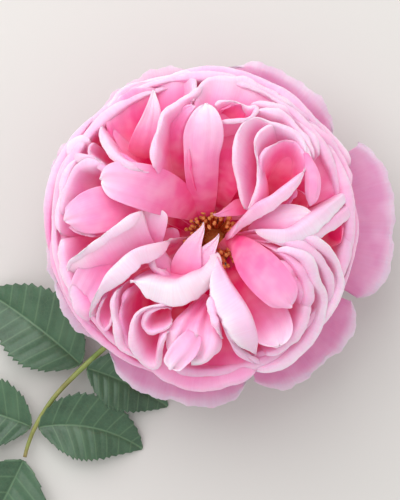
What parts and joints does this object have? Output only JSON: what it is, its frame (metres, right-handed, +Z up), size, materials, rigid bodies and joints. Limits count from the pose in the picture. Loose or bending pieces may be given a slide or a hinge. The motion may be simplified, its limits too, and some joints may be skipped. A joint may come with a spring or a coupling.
{
  "type": "cut garden rose",
  "caption": "Full quartered pink rose bloom, cut with a short bent stem and one toothed compound leaf, lying face up.",
  "frame": {"origin": "on the ground, under the middle of the whole rose's box", "axes": "+Z up out of the bloom's open face; +X towards the side where the stem ends; -Y with -X towards the leaf's tip"},
  "size_m": [0.1433, 0.1618, 0.0721],
  "materials": {
    "petal": "soft matte petal with a satin rim",
    "guard": "soft matte petal, faded",
    "leaf": "waxy leaf, slightly glossy",
    "stem": "smooth green stem",
    "stamen": "dry pollen-dusted stamens"
  },
  "bodies": {
    "root": {"cup_petal_1": "petal", "cup_petal_10": "petal", "cup_petal_11": "petal", "cup_petal_12": "petal", "cup_petal_2": "petal", "cup_petal_3": "petal", "cup_petal_4": "petal", "cup_petal_5": "petal", "cup_petal_6": "petal", "cup_petal_7": "petal", "cup_petal_8": "petal", "cup_petal_9": "petal", "drooping_petal_1": "guard", "drooping_petal_2": "guard", "drooping_petal_3": "guard", "drooping_petal_4": "guard", "drooping_petal_5": "guard", "guard_petal_1": "guard", "guard_petal_2": "guard", "guard_petal_3": "guard", "guard_petal_4": "guard", "guard_petal_5": "guard", "guard_petal_6": "guard", "guard_petal_7": "guard", "hip": "stem", "leaf_stalk": "stem", "leaflet_1": "leaf", "leaflet_2": "leaf", "leaflet_3": "leaf", "leaflet_4": "leaf", "leaflet_5": "leaf", "quarter_bottom": "petal", "quarter_left": "petal", "quarter_lower_right": "petal", "quarter_right": "petal", "quarter_top": "petal", "quarter_upper_left": "petal", "quarter_upper_right": "petal", "sepal_1": "leaf", "sepal_2": "leaf", "sepal_3": "leaf", "sepal_4": "leaf", "sepal_5": "leaf", "stamens": "stamen", "stem": "stem"}
  },
  "joints": []
}
